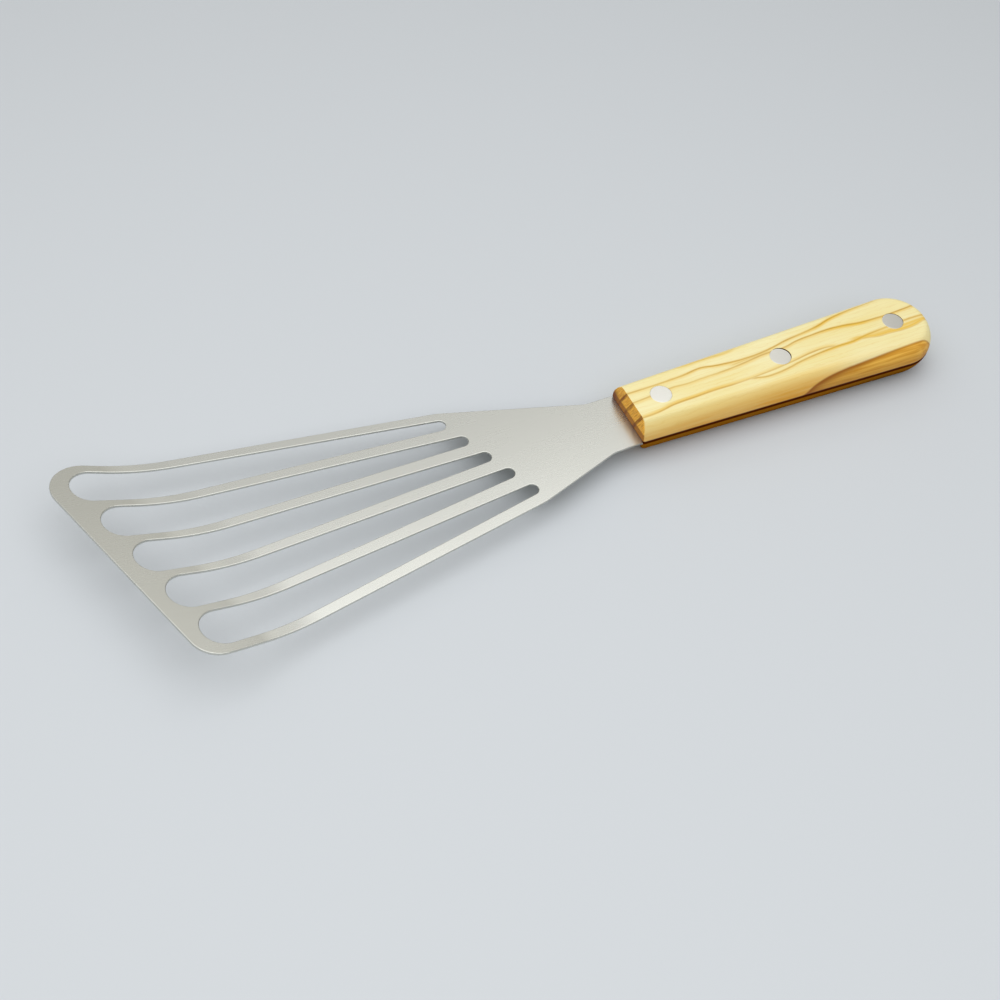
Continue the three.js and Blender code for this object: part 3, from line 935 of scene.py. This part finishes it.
def heartwood(g, colour, edge, tones):
    """Streaky amber beyond the given edge, darker at its front and along its rim, and with painted shade
    towards its foot.
    """
    inside = g.minus(g.along(edge, WIDTH_RANGE), g.across)
    amber = g.mix(g.span(g.streaks, *HEART_STREAKS), *tones)
    amber = g.mix(g.span(g.x, *HEART_FRONT), amber, HEART_FRONT_BROWN)
    # Painted shade: darker towards the foot of the flank, by the seam.
    amber = g.mix(g.span(g.absolute(g.z), *HEART_FOOT_SHADE), amber, HEART_FOOT_SHADE_BROWN)
    rim_width = g.span(g.x, *HEART_RIM_WIDTH)
    rim = g.span(g.math("DIVIDE", inside, rim_width), *HEART_RIM_FADE)
    rim = g.times(rim, g.span(g.x, *HEART_RIM_SHARE))
    amber = g.mix(rim, amber, HEART_RIM_BROWN)
    return g.mix(g.span(inside, *HEART_BLEND), colour, amber)


def end_grain(g, colour, crease, lines):
    """Layered end grain on the front, with the lines as bands: painted light makes it lighter above the
    height of its crease, and painted shade makes it darker below.
    """
    normal = g.node("ShaderNodeNewGeometry").outputs["True Normal"]
    ahead = g.node("ShaderNodeVectorMath", {0: normal, 1: (-1, 0, 0)}, operation="DOT_PRODUCT")
    pores = g.span(g.noise(g.place, detail=3.0, roughness=0.65, scale=PORE_SCALE), *END_PORES)
    width_scale, height_scale = END_LAYER_SCALE
    section = g.node("ShaderNodeCombineXYZ", {
        0: g.times(g.across, width_scale), 1: g.times(g.z, height_scale),
    }).outputs[0]
    layers = g.noise(section, detail=3.0, roughness=0.6)
    # Painted shade on the upright facet below the crease and painted light on the leaning facet above it.
    shaded_upright = g.mix(pores, *UPRIGHT_END_SHADED_TONES)
    lit_leaning = g.mix(pores, *LEANING_END_LIT_TONES)
    tone = g.mix(g.span(g.z, crease - CREASE_BLEND, crease + CREASE_BLEND), shaded_upright, lit_leaning)
    tone = g.mix(g.span(layers, *END_LAYERS), tone, END_LAYER_BROWN)
    bands = g.times(g.span(lines, *END_BANDS), g.span(layers, *END_BAND_LAYERS))
    # Painted shade along the crease.
    crease_shade = g.span(g.absolute(g.minus(g.z, crease)), *END_CREASE_SHADE)
    far_foot = g.times(g.span(g.y, *FAR_FOOT_SIDE), g.span(g.z, *FAR_FOOT_HEIGHT))
    # The grain bands, the painted shade line and the darker far lower corner take one brown.
    bands_and_shade = g.larger(g.larger(bands, crease_shade), g.times(far_foot, FAR_FOOT_SHARE))
    tone = g.mix(bands_and_shade, tone, END_BAND_AND_SHADE_BROWN)
    return g.mix(g.span(ahead.outputs["Value"], *FRONT_FACING), colour, tone)


def gap_shade(g, colour):
    """Painted shade on the walls of the rivets' seats, and painted shade along the seam by the tang."""
    distance = HANDLE_LENGTH
    for middle in RIVET_PLACES.values():
        along = g.math("POWER", g.minus(g.x, middle), 2.0)
        distance = g.math("MINIMUM", distance, g.math("SQRT", g.plus(along, g.times(g.y, g.y))))
    height = g.absolute(g.z)
    # Painted shade on the seat walls, below the top face and within the heads' reach.
    seat_shade = g.times(g.span(distance, *SEAT_SHADE_REACH), g.span(height, *SEAT_SHADE_TOP))
    colour = g.mix(seat_shade, colour, SEAT_SHADE_BROWN)
    # Painted shade near the sheet's faces: in the slit along the tang and at the foot of the scales' flanks
    # and fronts.
    return g.mix(g.span(height, *SEAM_SHADE), colour, SEAM_SHADE_BROWN)


def olive_wood(name, lines, heart_edge, heart_tones, crease, shine, shift):
    """Olive wood with its own growth lines and heartwood. The shift moves the grain, so that no two pieces
    have the same."""
    material = bpy.data.materials.new(name)
    g = WoodGraph(material, shift)
    core, halo = growth_lines(g, lines)
    colour = sapwood(g)
    colour = g.mix(g.times(halo, HALO_SHARE), colour, HALO_GOLD)
    colour = g.mix(g.times(core, CORE_SHARE), colour, LINE_BROWN)
    colour = heartwood(g, colour, heart_edge, heart_tones)
    colour = end_grain(g, colour, crease, g.larger(core, halo))
    colour = gap_shade(g, colour)
    g.set(Base_Color=colour, Specular_IOR_Level=shine)
    g.set(Roughness=g.span(g.plus(g.fibre, g.fine), *WOOD_SHEEN))
    relief = g.math("MULTIPLY_ADD", core, CORE_RELIEF, g.fibre)
    relief = g.math("MULTIPLY_ADD", g.fine, FINE_RELIEF, relief)
    g.set(Normal=g.bump(relief, WOOD_RELIEF))
    return material


# Floor, light and camera

FLOOR_GREY = srgb(206, 211, 216)
FLOOR_HALF = 4
# The room's tint by the height that a direction looks to.
ROOM_TINTS = [
    (0.0, (0.54, 0.52, 0.47)),
    (0.44, (0.545, 0.53, 0.485)),
    (0.56, (0.71, 0.70, 0.675)),
    (1.0, (0.66, 0.66, 0.66)),
]
# The room's level by direction, as where a change starts and ends and the level at both.
GLOW_RISE = (0.43, 0.54, 0, 0.98)
GLOW_FALL = (0.595, 0.7, 1, 0)
GLOW_BACK_START = (0.4, 0.6, 0, 1)
GLOW_BACK_END = (0.66, 0.77, 1, 0)
TIP_END_LEVEL = (-0.75, -0.4, 0.6, 1.0)
BUTT_END_LEVEL = (0.55, 0.60, 1.0, 0.32)
BUTT_BACK_LEVEL = (0.25, 0.42, 1.0, 0.32)
NEAR_SIDE_LEVEL = (-0.5, 0.0, 0.72, 1.0)
# The panel, in metres and watts.
PANEL_WIDTH = 1.0
PANEL_DEPTH = 1.1
PANEL_ENERGY = 3.56
PANEL_PLACE = (-0.14, -0.21, 0.55)
# The camera, in drawing millimetres and degrees.
CAMERA_PLACE = Vector((-165.735, -225.807, 314.767))
CAMERA_TURN = (37.2622, -3.0679, -24.3827)
CAMERA_LENS = 46.8
CAMERA_SENSOR = 36
CAMERA_SHIFT = (-0.0005, 0.0005)
CAMERA_CLIP = 0.01


def pale_floor(scene):
    corners = [(x * FLOOR_HALF, y * FLOOR_HALF, 0) for x, y in ((-1, -1), (1, -1), (1, 1), (-1, 1))]
    mesh = bpy.data.meshes.new("floor")
    mesh.from_pydata(corners, [], [(0, 1, 2, 3)])
    floor = bpy.data.objects.new("floor", mesh)
    scene.collection.objects.link(floor)
    paper = bpy.data.materials.new("floor_paper")
    Graph(paper, PRINCIPLED).set(Base_Color=FLOOR_GREY, Roughness=0.9, Specular_IOR_Level=0.1)
    mesh.materials.append(paper)


def soft_room(scene):
    """A room that is brighter behind the tool, which the raised tip mirrors, and darker beyond the tip,
    beyond the butt and on the near side."""
    scene.world = bpy.data.worlds.new("studio")
    g = Graph(scene.world, "Background")
    direction = g.node("ShaderNodeTexCoord").outputs["Generated"]
    x, y, z = g.node("ShaderNodeSeparateXYZ", {0: direction}).outputs

    def level_by(value, change):
        return g.span(value, *change, smooth=False)

    glow = g.times(level_by(z, GLOW_RISE), level_by(z, GLOW_FALL))
    glow = g.times(glow, level_by(y, GLOW_BACK_START))
    glow = g.times(glow, level_by(y, GLOW_BACK_END))
    level = g.plus(glow, level_by(x, TIP_END_LEVEL))
    level = g.times(level, g.larger(level_by(x, BUTT_END_LEVEL), level_by(y, BUTT_BACK_LEVEL)))
    level = g.times(level, level_by(y, NEAR_SIDE_LEVEL))
    g.set(Color=g.ramp(z, ROOM_TINTS), Strength=level)


def soft_panel(scene):
    """A panel overhead. The blade mirrors its back edge, so the near bars are brighter than the far ones."""
    light = bpy.data.lights.new("panel", "AREA")
    light.shape = "RECTANGLE"
    light.size = PANEL_WIDTH
    light.size_y = PANEL_DEPTH
    light.energy = PANEL_ENERGY
    panel = bpy.data.objects.new("panel", light)
    scene.collection.objects.link(panel)
    panel.location = PANEL_PLACE
    panel.visible_camera = False


def photo_camera(scene):
    data = bpy.data.cameras.new("camera")
    data.sensor_width = CAMERA_SENSOR
    data.lens = CAMERA_LENS
    data.shift_x, data.shift_y = CAMERA_SHIFT
    data.clip_start = CAMERA_CLIP
    camera = bpy.data.objects.new("camera", data)
    camera.location = ORIGIN + CAMERA_PLACE * MM
    camera.rotation_euler = [math.radians(a) for a in CAMERA_TURN]
    scene.collection.objects.link(camera)
    scene.camera = camera


# The tool

steel = satin_steel("blade_steel_satin", STEEL_GREY, roughness=0.275, wear=0.01, relief=0.0015)
rivet_metal = satin_steel("rivet_metal_satin", RIVET_GREY, roughness=0.28, wear=0.01, relief=0.002)
upper_wood = olive_wood(
    "upper_scale_wood", UPPER_LINES, UPPER_HEART_EDGE, UPPER_HEART_TONES,
    crease=HALF_SHEET + UPPER_FRONT_HEIGHT, shine=0.28, shift=(0, 0, 0),
)
# On the lower scale the heartwood layer is painted shade on the near flank.
lower_wood = olive_wood(
    "lower_scale_wood", LOWER_LINES, LOWER_FLANK_SHADE_EDGE, LOWER_FLANK_SHADE_TONES,
    crease=-HALF_SHEET - LOWER_FRONT_HEIGHT, shine=0.0, shift=(31, 17, 5),
)
upper_form = (UPPER_FLANK_INSET, UPPER_FLANK_BULGE, UPPER_FRONT_HEIGHT, UPPER_FRONT_SETBACK)
lower_form = (LOWER_FLANK_INSET, LOWER_FLANK_BULGE, LOWER_FRONT_HEIGHT, LOWER_FRONT_SETBACK)

make_blade(steel)
make_scale("handle_scale_upper", upper_form, 1, upper_wood, "upper_scale")
make_scale("handle_scale_lower", lower_form, -1, lower_wood, "lower_scale")
for rivet_place in RIVET_PLACES:
    make_rivet(rivet_place, rivet_metal)

studio = bpy.context.scene
studio.view_settings.view_transform = "Standard"
pale_floor(studio)
soft_room(studio)
soft_panel(studio)
photo_camera(studio)
